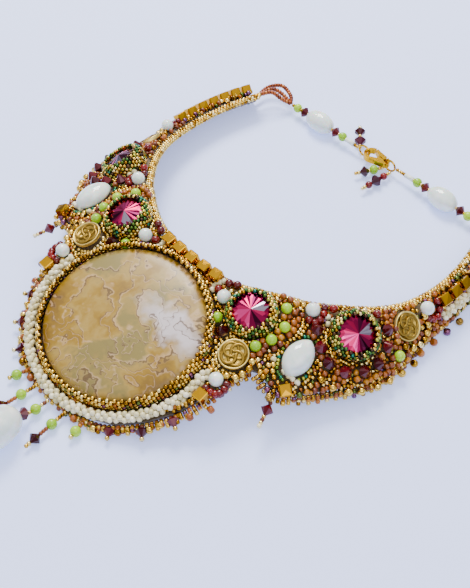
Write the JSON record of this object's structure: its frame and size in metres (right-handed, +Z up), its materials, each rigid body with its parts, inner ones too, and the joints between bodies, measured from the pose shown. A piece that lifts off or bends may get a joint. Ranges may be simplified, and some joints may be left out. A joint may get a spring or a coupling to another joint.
{
  "type": "bib necklace",
  "caption": "Bead-embroidered bib necklace: stiff collar with an oval agate, pink crystals, knot coins, beaded fringe, strands and a lobster clasp, lying flat.",
  "frame": {"origin": "centre of the bounding box in X and Y, on the surface that the necklace lies on", "axes": "+X to the wearer's left branch as seen from above with the clasp at the back, +Y from the agate to the clasp, +Z up"},
  "size_m": [0.1472, 0.2106, 0.0264],
  "materials": {
    "suede": "brown suede, napped",
    "agate": "polished banded stone",
    "bronze_beads": "metallic bronze and green seed beads",
    "pink_crystal": "cut and foiled pink crystal",
    "cream_beads": "opaque cream seed beads",
    "aged_brass": "antiqued cast brass",
    "white_glass": "milky white glass",
    "gold_plate": "bright gold plate",
    "gold_beads": "metallic gold seed beads",
    "copper_beads": "copper and orange seed beads",
    "garnet_crystal": "dark red faceted crystal"
  },
  "bodies": {
    "necklace": {"agate": "agate", "agate_bezel": "bronze_beads", "backing": "suede", "bead_field_left": "copper_beads", "bead_field_right": "copper_beads", "centre_drop": "garnet_crystal", "charm_far": "garnet_crystal", "charm_inner": "garnet_crystal", "charm_near": "garnet_crystal", "clasp_body": "gold_plate", "clasp_ring_left": "gold_plate", "clasp_ring_right": "gold_plate", "coin_front_left": "aged_brass", "coin_front_right": "aged_brass", "coin_side_left": "aged_brass", "coin_side_right": "aged_brass", "cream_rope": "cream_beads", "cream_rope_arm_left": "cream_beads", "cream_rope_arm_right": "cream_beads", "cube_front_1": "gold_plate", "cube_front_2": "gold_plate", "cube_front_3": "gold_plate", "cube_front_4": "gold_plate", "cube_front_5": "gold_plate", "cube_lobe_left": "gold_plate", "cube_lobe_right": "gold_plate", "cube_notch_left": "gold_plate", "cube_notch_right": "gold_plate", "cubes_arm_left": "gold_plate", "cubes_arm_right": "gold_plate", "end_loop_left": "copper_beads", "end_loop_right": "copper_beads", "fringe": "gold_beads", "navette_left": "white_glass", "navette_right": "white_glass", "neck_edging": "gold_beads", "notch_dangle_left": "garnet_crystal", "notch_dangle_right": "garnet_crystal", "outer_edging_left": "gold_beads", "outer_edging_right": "gold_beads", "rivoli_bezel_front_left": "bronze_beads", "rivoli_bezel_front_right": "bronze_beads", "rivoli_bezel_side_left": "bronze_beads", "rivoli_bezel_side_right": "bronze_beads", "rivoli_front_left": "pink_crystal", "rivoli_front_right": "pink_crystal", "rivoli_side_left": "pink_crystal", "rivoli_side_right": "pink_crystal", "strand_left": "white_glass", "strand_right": "white_glass", "white_bead_arm_left": "white_glass", "white_bead_arm_right": "white_glass", "white_bead_inner_left": "white_glass", "white_bead_inner_right": "white_glass", "white_bead_lobe_left": "white_glass", "white_bead_lobe_right": "white_glass", "white_bead_neck_left": "white_glass", "white_bead_neck_right": "white_glass"},
    "lever": {"clasp_lever": "gold_plate"}
  },
  "joints": [
    {"name": "lever_hinge", "type": "hinge", "parent": "necklace", "child": "lever", "pos_m": [0.00122, 0.09548, 0.00401], "axis": [0, 0, 1], "range_deg": [0, 13], "stiffness_Nm_per_rad": 0.001}
  ]
}
